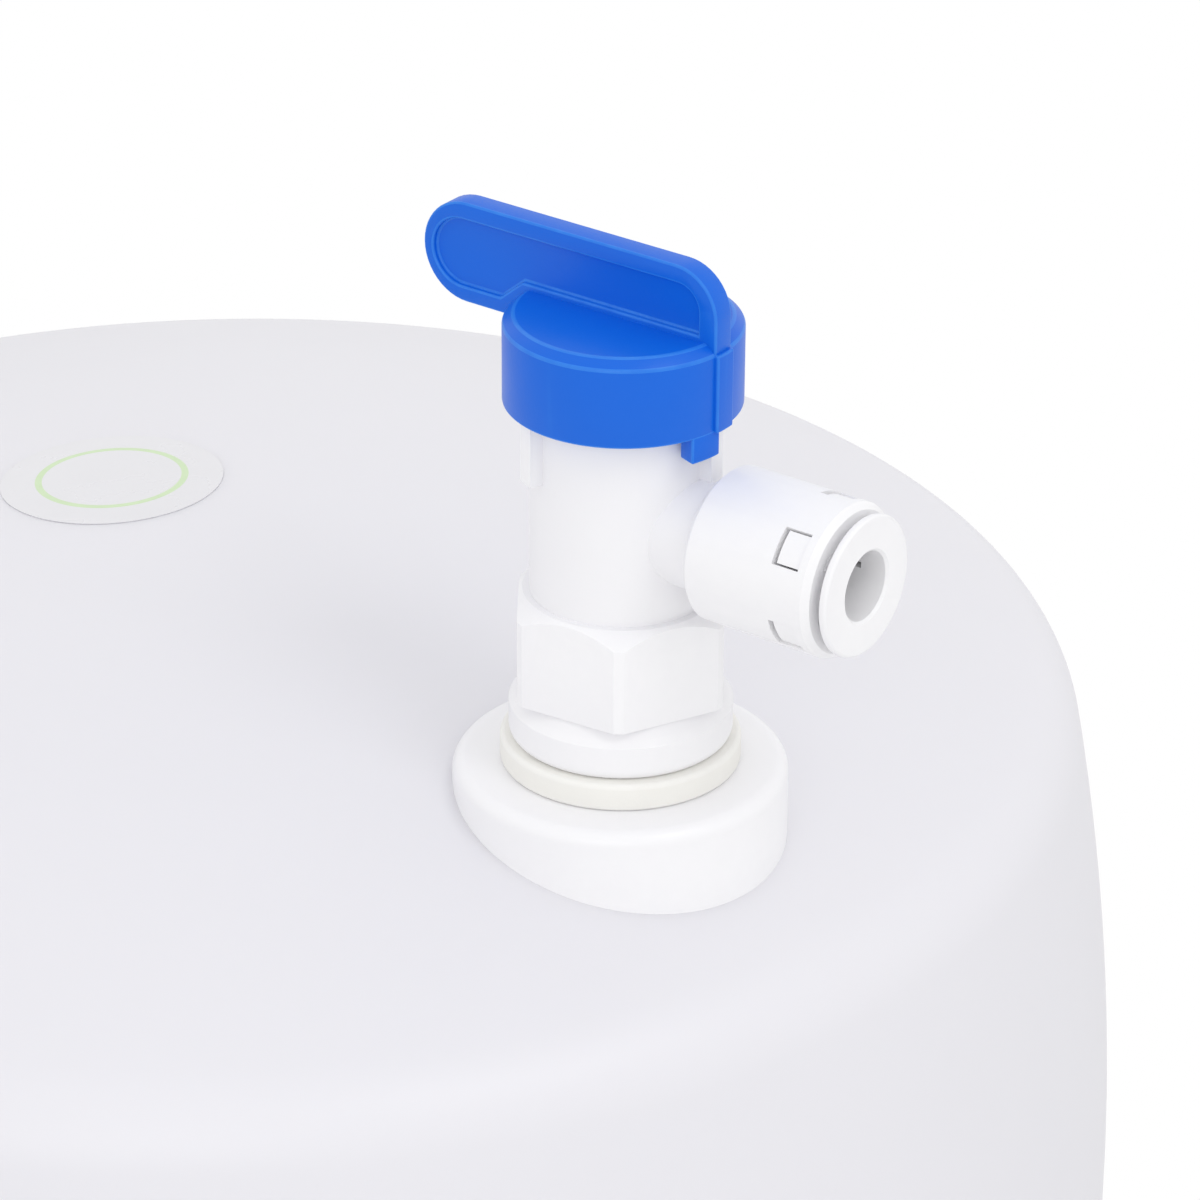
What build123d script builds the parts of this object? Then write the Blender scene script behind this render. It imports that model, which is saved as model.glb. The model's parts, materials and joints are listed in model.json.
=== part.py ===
from build123d import *
from math import asin, cos, degrees, radians, sin, sqrt
import os

os.makedirs("parts", exist_ok=True)

# A small pressurised water tank of moulded plastic: two shells welded round a rubber
# diaphragm, on a ring stand, with a lever ball valve and a push-in tube outlet on top.
# The origin is on the tank's axis at the floor, +Z is up and +X is the way the outlet
# points. Lengths are in millimetres and angles in degrees. Levels on the valve are
# measured from the handle's rim, and distances along the outlet from the valve's axis.

# Tank shells
tank_radius = 93.0
crown_radius = 248.0
knuckle_radius = 9.0
side_curve_radius = 270.0
side_lean = 10.8
belt_height = 60.0
wall = 3.0
floor_clearance = 22.0
seam_proud = 1.0
seam_height = 8.0

# Diaphragm, its bead and the ring that clamps it
ledge_width = 5.5
ledge_depth = 3.0
ledge_taper = 8.0
bead_height = 3.5
bead_edge = 0.8
clamp_height = 5.0
rim_clearance = 0.15
membrane = 1.6
cup_inset = 4.0
cup_draft = 6.0
cup_floor_gap = 12.0
cup_corner = 24.0
cup_shoulder = 3.0

# Ring stand
stand_radius = 80.0
stand_flare = 2.0
stand_wall = 3.0
stand_foot = 12.0
stand_shelf = 11.0
stand_edge = 1.0
seat_gap = 0.05
arch_count = 4
arch_width = 46.0
arch_height = 17.0
arch_corner = 8.0

# Water port, off the tank's axis
port_margin = 34.3
port_x = tank_radius - port_margin
port_y = -10.7
boss_radius = 15.8
boss_rise = 4.5
boss_edge = 1.4
boss_depth = 9.5
boss_wall = 3.0
weld_gap = 0.03
nipple_radius = 6.55
nipple_height = 15.0
nipple_bore = 3.5
nipple_tip = 0.8
washer_radius = 11.3
washer_thickness = 2.7

# Valve body
neck_radius = 8.55
neck_top = 3.0
hex_across_flats = 19.0
hex_corner_radius = 10.7
waist_radius = 9.2
hex_bevel = 1.5
hex_top = -19.0
hex_bottom = -28.9
hex_turn = 5.0
collar_radius = 10.5
collar_top = -30.6
collar_bottom = -34.0
collar_edge = 1.0
socket_depth = 13.0
socket_bevel = 0.7
fit_gap = 0.05
ball_level = -11.0
ball_radius = 5.2
ball_bore = 2.5
water_bore = 2.6
chamber_gap = 0.5
chamber_floor = -17.6
cap_ridge = 0.45
cap_ridge_bottom = 1.4
cap_ridge_top = 2.4

# Turn stops: a tab under the handle's rim between two ribs on the neck
stop_rib_radius = 9.9
stop_rib_length = 6.6
stop_rib_angle = 12.0
stop_tab_angle = 18.0
stop_tab_drop = 2.4
stop_tab_thickness = 1.9
stop_gap_angle = 1.6
quarter_turn = 90.0
rim_gap = 0.3

# Seats, stem and stem guide
seat_clearance = 0.1
inlet_seat_top = -15.0
outlet_seat_radius = 3.9
outlet_seat_start = 4.0
outlet_seat_end = 6.6
guide_wall = 3.02
guide_bottom = -3.5
guide_top = 2.4
spanner_slot = 1.2
shank_radius = 3.4
running_gap = 0.08
stem_flange_radius = 5.3
stem_flange_height = 1.2
tang_thickness = 1.6
tang_width = 6.2
tang_gap = 0.1
slot_depth = 1.5
stem_square = 4.4
stem_square_top = 5.6
stem_ring_section = 0.47
stem_groove_radius = 2.5
upper_ring_level = 0.9
lower_ring_level = -1.6

# Handle
cap_radius = 11.0
cap_side = 7.6
cap_bevel = 1.0
cap_bevel_height = 0.9
cap_inside = 9.3
cap_ceiling = 6.0
snap_bead = 0.5
snap_level = 0.25
snap_height = 0.7
hub_radius = 4.2
lever_thickness = 2.4
lever_top = 15.2
lever_bottom = 5.4
lever_reach = 21.9
lever_front = 11.0
lever_corner = 4.6
lever_edge = 0.4
lever_root_gap = 0.6
rib_proud = 0.4
pocket_depth = 0.6
pocket_back_margin = 1.1
pocket_top_margin = 1.7
pocket_bottom_margin = 1.5
pocket_front_margin = 1.95
pocket_step_height = 0.5
pocket_step_start = -13.1
pocket_step_end = -10.6
pocket_corner = 2.4

# Push-in tube outlet
root_radius = 5.3
housing_start = 11.65
housing_end = 25.3
housing_radius = 7.3
housing_edge = 0.6
tube_radius = 3.175
tube_clearance = 0.125
tube_stop = 14.0
ring_seat_start = 17.0
cartridge_start = 19.4
cartridge_radius = 5.5
cartridge_wall = 0.6
cartridge_inset = 0.1
window_start = 21.1
window_length = 2.8
window_angle = 28.4
window_count = 5
window_first_angle = 40.0
barb_gap = 0.15
barb_reach = 6.95
cut_margin = 1.0
lip_length = 1.0
grab_thickness = 0.35
grab_teeth = 10
grab_slot = 0.7
grab_rim = 1.0
collet_radius = 4.25
collet_nose = 20.7
collet_travel = 0.8
flange_radius = 6.65
flange_thickness = 0.8
flange_edge = 0.3
mouth_bevel = 0.25
collet_ridge = 0.35
collet_ridge_length = 0.8
collet_slits = 4
slit_width = 0.6
tube_ring_section = 0.78

# Round label on the crown
label_radius = 11.5
label_thickness = 0.15
label_glue = 0.03
label_x = -15.8
label_y = 2.3

# Air valve, under the tank on its axis
air_stem_radius = 3.85
air_stem_bore = 2.4
air_stem_drop = 13.0
air_stem_head_radius = 7.0
air_stem_head = 1.6
grommet_radius = 8.0
grommet_thickness = 2.0
grommet_sleeve = 1.2
air_washer_radius = 7.5
air_washer_thickness = 1.0
air_nut_across_flats = 12.0
air_nut_thickness = 3.0
core_length = 9.0
core_recess = 1.0
core_wall = 0.85
core_seat = 1.0
pin_radius = 0.6
pin_head_radius = 1.2
pin_head_height = 1.0
pin_tip = 0.6
pin_collar_radius = 1.2
pin_collar_level = 1.4
pin_collar_height = 0.6
spring_wire = 0.3
spring_radius = 1.05
spring_turns = 5
air_cap_wall = 1.3
air_cap_height = 8.5
air_cap_end = 1.2
air_cap_gap = 0.3
air_cap_grips = 16
grip_radius = 0.5

# Levels and angles worked out from the sizes above
side_middle = tank_radius - side_curve_radius
knuckle_middle = side_middle + (side_curve_radius - knuckle_radius) * cos(radians(side_lean))
crown_angle = degrees(asin(knuckle_middle / (crown_radius - knuckle_radius)))
knuckle_angle = 90 - side_lean - crown_angle
side_rise = (side_curve_radius - knuckle_radius) * sin(radians(side_lean))
dome_height = side_rise + crown_radius - (crown_radius - knuckle_radius) * cos(radians(crown_angle))
low_belt = floor_clearance + dome_height
high_belt = low_belt + belt_height
tank_top = high_belt + dome_height
seam_level = (low_belt + high_belt) / 2
inner_radius = tank_radius - wall
ledge_radius = inner_radius - ledge_width
ledge_level = seam_level - bead_height
shoulder_level = seam_level + clamp_height
port_distance = sqrt(port_x**2 + port_y**2)
port_level = tank_top - crown_radius + sqrt(crown_radius**2 - port_distance**2)
boss_top = collar_bottom - washer_thickness
valve_level = port_level + boss_rise - boss_top
outlet_level = valve_level + ball_level
cap_top = cap_side + cap_bevel_height
socket_radius = nipple_radius + fit_gap
socket_roof = collar_bottom + socket_depth
chamber_radius = ball_radius + chamber_gap
stem_bore = shank_radius + running_gap
guide_radius = stem_bore + guide_wall
tube_bore = tube_radius + tube_clearance
cartridge_bore = cartridge_radius - cartridge_wall
window_cut_radius = housing_radius + cut_margin
barb_cut_radius = cartridge_bore - cut_margin
boss_cut_height = 4 * boss_depth
air_cut_height = 3 * wall
lip_radius = collet_radius + running_gap
collet_shoulder = housing_end + collet_travel + running_gap

valve_axis = Axis((port_x, port_y, 0), (0, 0, 1))
outlet_axis = Axis((port_x, port_y, outlet_level), (1, 0, 0))
valve_plane = Plane(origin=(port_x, port_y, valve_level))
valve_section = Plane(origin=(port_x, port_y, valve_level), x_dir=(1, 0, 0), z_dir=(0, -1, 0))
outlet_section = Plane(origin=(port_x, port_y, outlet_level), x_dir=(1, 0, 0), z_dir=(0, -1, 0))


def across_outlet(distance):
    """A plane across the outlet; its x axis points to -Y and its y axis up."""
    return Plane(origin=(port_x + distance, port_y, outlet_level), x_dir=(0, -1, 0), z_dir=(-1, 0, 0))


def dome_curve(inset, belt_level, way):
    """Crown, knuckle and side arcs from the axis out to the belt, upwards (1) or downwards (-1)."""
    apex = (0, belt_level + way * (dome_height - inset))
    crown = JernArc(apex, (1, 0), crown_radius - inset, -way * crown_angle)
    knuckle = JernArc(crown @ 1, crown % 1, knuckle_radius - inset, -way * knuckle_angle)
    JernArc(knuckle @ 1, knuckle % 1, side_curve_radius - inset, -way * side_lean)


def ring_sector(inner, outer, start, sweep):
    """The closed outline of a piece of a ring."""
    far = CenterArc((0, 0), outer, start, sweep)
    near = CenterArc((0, 0), inner, start, sweep)
    Line(near @ 0, far @ 0)
    Line(near @ 1, far @ 1)


# Upper shell: dome, side and weld collar, and the shoulder that holds the clamp ring down
with BuildPart() as upper_shell:
    with BuildSketch(Plane.XZ):
        with BuildLine():
            dome_curve(0, high_belt, 1)
            dome_curve(wall, high_belt, 1)
            Line((0, tank_top - wall), (0, tank_top))
            Polyline(
                (tank_radius, high_belt),
                (tank_radius, seam_level + seam_height / 2),
                (tank_radius + seam_proud, seam_level + seam_height / 2 - seam_proud),
                (tank_radius + seam_proud, seam_level),
                (inner_radius, seam_level),
                (inner_radius, shoulder_level),
                (ledge_radius, shoulder_level),
                (ledge_radius, shoulder_level + ledge_depth),
                (inner_radius, shoulder_level + ledge_depth + ledge_taper),
                (inner_radius, high_belt),
            )
        make_face()
    revolve(axis=Axis.Z)
    with Locations((port_x, port_y, port_level)):
        Cylinder(boss_radius + weld_gap, boss_cut_height, mode=Mode.SUBTRACT)
upper_shell.part.label = "upper_shell"
export_step(upper_shell.part, "parts/upper_shell.step")

# Lower shell: the same dome upside down, the ledge for the bead and the air valve's hole
with BuildPart() as lower_shell:
    with BuildSketch(Plane.XZ):
        with BuildLine():
            dome_curve(0, low_belt, -1)
            dome_curve(wall, low_belt, -1)
            Line((0, floor_clearance), (0, floor_clearance + wall))
            Polyline(
                (tank_radius, low_belt),
                (tank_radius, seam_level - seam_height / 2),
                (tank_radius + seam_proud, seam_level - seam_height / 2 + seam_proud),
                (tank_radius + seam_proud, seam_level),
                (inner_radius, seam_level),
                (inner_radius, ledge_level),
                (ledge_radius, ledge_level),
                (ledge_radius, ledge_level - ledge_depth),
                (inner_radius, ledge_level - ledge_depth - ledge_taper),
                (inner_radius, low_belt),
            )
        make_face()
    revolve(axis=Axis.Z)
    with Locations((0, 0, floor_clearance)):
        Cylinder(air_stem_radius + grommet_sleeve, air_cut_height, mode=Mode.SUBTRACT)
lower_shell.part.label = "lower_shell"
export_step(lower_shell.part, "parts/lower_shell.step")

# Diaphragm: a rubber cup whose thick rim sits on the ledge
cup_floor = floor_clearance + wall + cup_floor_gap
cup_radius = ledge_radius - cup_inset
membrane_level = ledge_level + membrane / 2

with BuildPart() as diaphragm:
    with BuildSketch(Plane.XZ):
        with BuildLine():
            FilletPolyline(
                (0, cup_floor),
                (cup_radius - cup_draft, cup_floor),
                (cup_radius, membrane_level),
                (ledge_radius + bead_height, membrane_level),
                radius=[cup_corner, cup_shoulder],
            )
        trace(line_width=membrane)
        with BuildLine():
            Polyline(
                (ledge_radius, ledge_level),
                (inner_radius - rim_clearance, ledge_level),
                (inner_radius - rim_clearance, ledge_level + bead_height),
                (ledge_radius, ledge_level + bead_height),
                close=True,
            )
        make_face()
    revolve(axis=Axis.Z)
    bead_rim = diaphragm.edges().filter_by(GeomType.CIRCLE).group_by(Axis.Z)[-1]
    fillet(bead_rim, bead_edge)
diaphragm.part.label = "diaphragm"
export_step(diaphragm.part, "parts/diaphragm.step")

# Clamp ring: squeezes the bead onto the ledge, under the upper shell's shoulder
with BuildPart() as clamp_ring:
    with BuildSketch(Plane.XY.offset(seam_level)):
        Circle(inner_radius - rim_clearance)
        Circle(ledge_radius, mode=Mode.SUBTRACT)
    extrude(amount=clamp_height)
clamp_ring.part.label = "clamp_ring"
export_step(clamp_ring.part, "parts/clamp_ring.step")

# Ring stand: a foot, a flared wall with arches, and a shelf shaped to the lower dome
shelf_radius = stand_radius + stand_flare - stand_shelf
shelf_level = floor_clearance + crown_radius - sqrt(crown_radius**2 - shelf_radius**2) - stand_wall
wall_inside = stand_radius - stand_wall
wall_top_level = floor_clearance + crown_radius - sqrt(crown_radius**2 - wall_inside**2) - stand_wall

with BuildPart() as base_stand:
    with BuildSketch(Plane.XZ):
        with BuildLine():
            Polyline(
                (stand_radius - stand_foot, 0),
                (stand_radius, 0),
                (stand_radius + stand_flare, low_belt / 2),
                (shelf_radius, low_belt / 2),
                (shelf_radius, shelf_level),
                (wall_inside + stand_flare / 2, wall_top_level),
                (wall_inside, stand_wall),
                (stand_radius - stand_foot, stand_wall),
                close=True,
            )
        make_face()
        with BuildLine():
            dome_curve(-seat_gap, low_belt, -1)
            Polyline(
                (0, floor_clearance - seat_gap),
                (0, low_belt),
                (tank_radius + seat_gap, low_belt),
            )
        make_face(mode=Mode.SUBTRACT)
    revolve(axis=Axis.Z)
    foot_rims = base_stand.edges().filter_by(GeomType.CIRCLE).group_by(Axis.Z)[0]
    fillet(foot_rims, stand_edge)
    for turn in range(arch_count):
        angle = radians(360 / arch_count * turn)
        outward = (cos(angle), sin(angle), 0)
        with BuildSketch(Plane(origin=(0, 0, 0), x_dir=(-sin(angle), cos(angle), 0), z_dir=outward)):
            RectangleRounded(arch_width, 2 * arch_height, arch_corner)
        extrude(amount=2 * stand_radius, mode=Mode.SUBTRACT)
base_stand.part.label = "base_stand"
export_step(base_stand.part, "parts/base_stand.step")

# Port fitting: the round boss welded into the dome and the threaded nipple on it
boss_bottom = boss_top - boss_rise - boss_depth

with BuildPart() as port_fitting:
    with BuildSketch(valve_section):
        with BuildLine():
            Polyline(
                (nipple_bore, boss_bottom),
                (nipple_bore + boss_wall, boss_bottom),
                (nipple_bore + boss_wall, boss_top - boss_wall),
                (boss_radius - boss_wall, boss_top - boss_wall),
                (boss_radius - boss_wall, boss_bottom),
                (boss_radius, boss_bottom),
                (boss_radius, boss_top),
                (nipple_radius, boss_top),
                (nipple_radius, boss_top + nipple_height - nipple_tip),
                (nipple_radius - nipple_tip, boss_top + nipple_height),
                (nipple_bore, boss_top + nipple_height),
                close=True,
            )
        make_face()
    revolve(axis=valve_axis)
    boss_rim = port_fitting.edges().filter_by(GeomType.CIRCLE).sort_by(SortBy.RADIUS)[-2:].sort_by(Axis.Z)[-1]
    fillet(boss_rim, boss_edge)
port_fitting.part.label = "port_fitting"
export_step(port_fitting.part, "parts/port_fitting.step")

# Sealing washer between the boss and the valve's collar
with BuildPart() as port_washer:
    with BuildSketch(valve_plane.offset(boss_top)):
        Circle(washer_radius)
        Circle(socket_radius, mode=Mode.SUBTRACT)
    extrude(amount=washer_thickness)
port_washer.part.label = "port_washer"
export_step(port_washer.part, "parts/port_washer.step")

# Wrench flats of the valve body, with their corners turned off at the top
flat_radius = hex_across_flats / 2

with BuildPart() as wrench_flats:
    with BuildSketch(valve_section):
        with BuildLine():
            Polyline(
                (0, hex_bottom),
                (hex_corner_radius, hex_bottom),
                (hex_corner_radius, hex_top - hex_bevel),
                (hex_corner_radius - hex_bevel, hex_top),
                (0, hex_top),
                close=True,
            )
        make_face()
    revolve(axis=valve_axis)
    with BuildSketch(valve_plane.offset(hex_bottom)):
        RegularPolygon(flat_radius, 6, major_radius=False, rotation=hex_turn)
    extrude(amount=hex_top - hex_bottom, mode=Mode.INTERSECT)

# Valve body: neck, wrench flats and collar, the outlet housing, stop ribs and all bores
with BuildPart() as valve_body:
    with BuildSketch(valve_section):
        with BuildLine():
            Polyline(
                (0, neck_top),
                (neck_radius, neck_top),
                (neck_radius, cap_ridge_top),
                (neck_radius + cap_ridge, cap_ridge_top),
                (neck_radius + cap_ridge, cap_ridge_bottom),
                (neck_radius, cap_ridge_bottom),
                (neck_radius, hex_top),
                (neck_radius, hex_bottom),
                (waist_radius, hex_bottom),
                (collar_radius, collar_top),
                (collar_radius, collar_bottom),
                (0, collar_bottom),
                close=True,
            )
        make_face()
    revolve(axis=valve_axis)
    collar_rim = valve_body.edges().filter_by(GeomType.CIRCLE).sort_by(Axis.Z)[0]
    fillet(collar_rim, collar_edge)
    add(wrench_flats.part)
    with BuildSketch(outlet_section):
        with BuildLine():
            Polyline((0, 0), (0, root_radius), (housing_start, root_radius), (housing_start, 0), close=True)
        make_face()
    revolve(axis=outlet_axis)
    with BuildSketch(outlet_section):
        with BuildLine():
            Polyline(
                (housing_start, 0),
                (housing_start, housing_radius - housing_edge),
                (housing_start + housing_edge, housing_radius),
                (housing_end - housing_edge, housing_radius),
                (housing_end, housing_radius - housing_edge),
                (housing_end, 0),
                close=True,
            )
        make_face()
    revolve(axis=outlet_axis)
    with BuildSketch(valve_plane.offset(-rim_gap)):
        with BuildLine():
            ring_sector(chamber_radius + running_gap, stop_rib_radius, 0, stop_rib_angle)
        make_face()
        with BuildLine():
            closed_stop = -quarter_turn - stop_tab_angle - 2 * stop_gap_angle
            ring_sector(chamber_radius + running_gap, stop_rib_radius, closed_stop, -stop_rib_angle)
        make_face()
    extrude(amount=rim_gap - stop_rib_length)
    with BuildSketch(valve_section):
        with BuildLine():
            Polyline(
                (0, neck_top),
                (guide_radius + fit_gap, neck_top),
                (guide_radius + fit_gap, guide_bottom),
                (chamber_radius, guide_bottom),
                (chamber_radius, chamber_floor),
                (water_bore, chamber_floor),
                (water_bore, socket_roof),
                (socket_radius, socket_roof),
                (socket_radius, collar_bottom + socket_bevel),
                (socket_radius + socket_bevel, collar_bottom),
                (0, collar_bottom),
                close=True,
            )
        make_face()
    revolve(axis=valve_axis, mode=Mode.SUBTRACT)
    with BuildSketch(outlet_section):
        with BuildLine():
            Polyline(
                (0, 0),
                (0, outlet_seat_radius + fit_gap),
                (outlet_seat_end, outlet_seat_radius + fit_gap),
                (outlet_seat_end, water_bore),
                (tube_stop, water_bore),
                (tube_stop, tube_bore),
                (ring_seat_start, tube_bore),
                (ring_seat_start, tube_bore + 2 * tube_ring_section + fit_gap),
                (cartridge_start, tube_bore + 2 * tube_ring_section + fit_gap),
                (cartridge_start, cartridge_radius + fit_gap),
                (housing_end, cartridge_radius + fit_gap),
                (housing_end, 0),
                close=True,
            )
        make_face()
    revolve(axis=outlet_axis, mode=Mode.SUBTRACT)
    for window in range(window_count):
        middle = window_first_angle + window * 360 / window_count
        with BuildSketch(across_outlet(window_start)):
            with BuildLine():
                ring_sector(cartridge_radius, window_cut_radius, middle - window_angle / 2, window_angle)
            make_face()
        extrude(amount=-window_length, mode=Mode.SUBTRACT)
valve_body.part.label = "valve_body"
export_step(valve_body.part, "parts/valve_body.step")

# Ball: water comes in from below and leaves to the side, and a slot on top takes the stem
slot_floor = ball_level + ball_radius - slot_depth

with BuildPart() as valve_ball:
    with Locations((port_x, port_y, outlet_level)):
        Sphere(ball_radius)
    with BuildSketch(valve_plane.offset(ball_level)):
        Circle(ball_bore)
    extrude(amount=-2 * ball_radius, mode=Mode.SUBTRACT)
    with BuildSketch(across_outlet(0)):
        Circle(ball_bore)
    extrude(amount=-2 * ball_radius, mode=Mode.SUBTRACT)
    with BuildSketch(valve_plane.offset(slot_floor)):
        Rectangle(tang_thickness + tang_gap, 3 * ball_radius)
    extrude(amount=2 * slot_depth, mode=Mode.SUBTRACT)
valve_ball.part.label = "valve_ball"
export_step(valve_ball.part, "parts/valve_ball.step")

# Inlet seat: the ring that the ball rests on
with BuildPart() as inlet_seat:
    with BuildSketch(valve_section):
        with BuildLine():
            Polyline(
                (water_bore, chamber_floor),
                (chamber_radius - fit_gap, chamber_floor),
                (chamber_radius - fit_gap, inlet_seat_top),
                (water_bore, inlet_seat_top),
                close=True,
            )
        make_face()
        with Locations((0, ball_level)):
            Circle(ball_radius + seat_clearance, mode=Mode.SUBTRACT)
    revolve(axis=valve_axis)
inlet_seat.part.label = "inlet_seat"
export_step(inlet_seat.part, "parts/inlet_seat.step")

# Outlet seat: the ring that seals the ball's side
with BuildPart() as outlet_seat:
    with BuildSketch(outlet_section):
        with BuildLine():
            Polyline(
                (outlet_seat_start, water_bore),
                (outlet_seat_end, water_bore),
                (outlet_seat_end, outlet_seat_radius),
                (outlet_seat_start, outlet_seat_radius),
                close=True,
            )
        make_face()
        Circle(ball_radius + seat_clearance, mode=Mode.SUBTRACT)
    revolve(axis=outlet_axis)
outlet_seat.part.label = "outlet_seat"
export_step(outlet_seat.part, "parts/outlet_seat.step")

# Stem: square head, shank with two ring grooves, flange and the tang in the ball's slot
stem_flange_top = guide_bottom - rim_gap
stem_flange_bottom = stem_flange_top - stem_flange_height
groove_half = stem_ring_section + running_gap

with BuildPart() as valve_stem:
    with BuildSketch(valve_section):
        with BuildLine():
            Polyline(
                (0, guide_top),
                (shank_radius, guide_top),
                (shank_radius, stem_flange_top),
                (stem_flange_radius, stem_flange_top),
                (stem_flange_radius, stem_flange_bottom),
                (0, stem_flange_bottom),
                close=True,
            )
        make_face()
        for level in (upper_ring_level, lower_ring_level):
            with Locations((shank_radius, level)):
                Rectangle(2 * (shank_radius - stem_groove_radius), 2 * groove_half, mode=Mode.SUBTRACT)
    revolve(axis=valve_axis)
    with BuildSketch(valve_plane.offset(guide_top)):
        Rectangle(stem_square, stem_square)
    extrude(amount=stem_square_top - guide_top)
    with BuildSketch(valve_plane.offset(stem_flange_bottom)):
        Rectangle(tang_thickness, tang_width)
    extrude(amount=slot_floor + tang_gap - stem_flange_bottom)
valve_stem.part.label = "valve_stem"
export_step(valve_stem.part, "parts/valve_stem.step")

# The two sealing rings of the stem
stem_ring_radius = stem_groove_radius + stem_ring_section

with BuildPart() as upper_stem_ring:
    with Locations((port_x, port_y, valve_level + upper_ring_level)):
        Torus(stem_ring_radius, stem_ring_section)
upper_stem_ring.part.label = "upper_stem_ring"
export_step(upper_stem_ring.part, "parts/upper_stem_ring.step")

with BuildPart() as lower_stem_ring:
    with Locations((port_x, port_y, valve_level + lower_ring_level)):
        Torus(stem_ring_radius, stem_ring_section)
lower_stem_ring.part.label = "lower_stem_ring"
export_step(lower_stem_ring.part, "parts/lower_stem_ring.step")

# Stem guide: screwed into the neck, it keeps the stem and ball in, with two spanner slots
with BuildPart() as stem_guide:
    with BuildSketch(valve_plane.offset(guide_bottom)):
        Circle(guide_radius)
        Circle(stem_bore, mode=Mode.SUBTRACT)
    extrude(amount=guide_top - guide_bottom)
    with BuildSketch(valve_plane.offset(guide_top)):
        Rectangle(3 * guide_radius, spanner_slot)
    extrude(amount=-spanner_slot, mode=Mode.SUBTRACT)
stem_guide.part.label = "stem_guide"
export_step(stem_guide.part, "parts/stem_guide.step")

# Lever of the handle: a thin upright blade with a shallow pocket in both faces
lever_round = (lever_top - lever_bottom) / 2
lever_middle = (lever_top + lever_bottom) / 2
lever_root = cap_ceiling + lever_root_gap
pocket_low = lever_bottom + pocket_bottom_margin
pocket_high = lever_top - pocket_top_margin
pocket_round = (pocket_high - pocket_low) / 2
pocket_back = -lever_reach + pocket_back_margin + pocket_round
pocket_front = lever_front - pocket_front_margin
pocket_step_level = cap_top + pocket_step_height

with BuildPart() as lever_blade:
    with BuildSketch(valve_section):
        with BuildLine():
            Line((-cap_inside - lever_root_gap, lever_bottom), (-lever_reach + lever_round, lever_bottom))
            CenterArc((-lever_reach + lever_round, lever_middle), lever_round, 270, -180)
            Line((-lever_reach + lever_round, lever_top), (lever_front - lever_corner, lever_top))
            CenterArc((lever_front - lever_corner, lever_top - lever_corner), lever_corner, 90, -90)
            Polyline(
                (lever_front, lever_top - lever_corner),
                (lever_front, lever_root),
                (-cap_inside - lever_root_gap, lever_root),
                (-cap_inside - lever_root_gap, lever_bottom),
            )
        make_face()
    extrude(amount=lever_thickness / 2, both=True)
    fillet(lever_blade.faces().filter_by(Axis.Y).edges(), lever_edge)
    for side in (-1, 1):
        with BuildSketch(valve_section.offset(side * lever_thickness / 2)):
            with BuildLine():
                Polyline(
                    (pocket_back, pocket_low),
                    (pocket_step_start, pocket_low),
                    (pocket_step_end, pocket_step_level),
                    (pocket_front, pocket_step_level),
                    (pocket_front, pocket_high - pocket_corner),
                )
                CenterArc((pocket_front - pocket_corner, pocket_high - pocket_corner), pocket_corner, 0, 90)
                Line((pocket_front - pocket_corner, pocket_high), (pocket_back, pocket_high))
                CenterArc((pocket_back, pocket_low + pocket_round), pocket_round, 90, 180)
            make_face()
        extrude(amount=-side * pocket_depth, mode=Mode.SUBTRACT)

# Handle: the cap that snaps over the neck, with the lever, its side rib and the stop tab
with BuildPart() as handle:
    with BuildSketch(valve_section):
        with BuildLine():
            Polyline(
                (0, cap_top),
                (cap_radius - cap_bevel, cap_top),
                (cap_radius, cap_side),
                (cap_radius, 0),
                (cap_inside, 0),
                (cap_inside, snap_level),
                (cap_inside - snap_bead, snap_level + snap_height / 2),
                (cap_inside, snap_level + snap_height),
                (cap_inside, cap_ceiling),
                (hub_radius, cap_ceiling),
                (hub_radius, guide_top + rim_gap),
                (0, guide_top + rim_gap),
                close=True,
            )
        make_face()
    revolve(axis=valve_axis)
    add(lever_blade.part)
    with BuildSketch(valve_plane):
        with BuildLine():
            rib_angle = degrees(asin(lever_thickness / 2 / cap_radius))
            ring_sector(cap_inside + rim_gap, cap_radius + rib_proud, -rib_angle, 2 * rib_angle)
        make_face()
    extrude(amount=cap_side)
    with BuildSketch(valve_plane.offset(snap_level)):
        with BuildLine():
            tab_start = -stop_gap_angle - stop_tab_angle
            ring_sector(cap_radius - stop_tab_thickness, cap_radius, tab_start, stop_tab_angle)
        make_face()
    extrude(amount=-stop_tab_drop - snap_level)
    with BuildSketch(valve_plane.offset(guide_top)):
        Rectangle(stem_square + 2 * fit_gap, stem_square + 2 * fit_gap)
    extrude(amount=stem_square_top + fit_gap - guide_top, mode=Mode.SUBTRACT)
handle.part.label = "handle"
export_step(handle.part, "parts/handle.step")

# Sealing ring of the tube
with BuildPart() as tube_ring:
    with BuildSketch(outlet_section):
        with Locations(((ring_seat_start + cartridge_start) / 2, tube_bore + tube_ring_section)):
            Circle(tube_ring_section)
    revolve(axis=outlet_axis)
tube_ring.part.label = "tube_ring"
export_step(tube_ring.part, "parts/tube_ring.step")

# Grab ring: a thin steel washer whose teeth grip the tube
with BuildPart() as grab_ring:
    with BuildSketch(across_outlet(cartridge_start)):
        Circle(cartridge_radius)
        Circle(tube_bore, mode=Mode.SUBTRACT)
        with PolarLocations(0, grab_teeth):
            with Locations((tube_bore, 0)):
                Rectangle(2 * (cartridge_radius - grab_rim - tube_bore), grab_slot, mode=Mode.SUBTRACT)
    extrude(amount=-grab_thickness)
grab_ring.part.label = "grab_ring"
export_step(grab_ring.part, "parts/grab_ring.step")

# Cartridge: the sleeve that snaps into the windows and holds the collet in
cartridge_back = cartridge_start + grab_thickness
cartridge_front = housing_end - cartridge_inset
barb_start = window_start + barb_gap
barb_end = window_start + window_length - barb_gap
barb_angle = window_angle - 2 * degrees(barb_gap / cartridge_radius)

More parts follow.
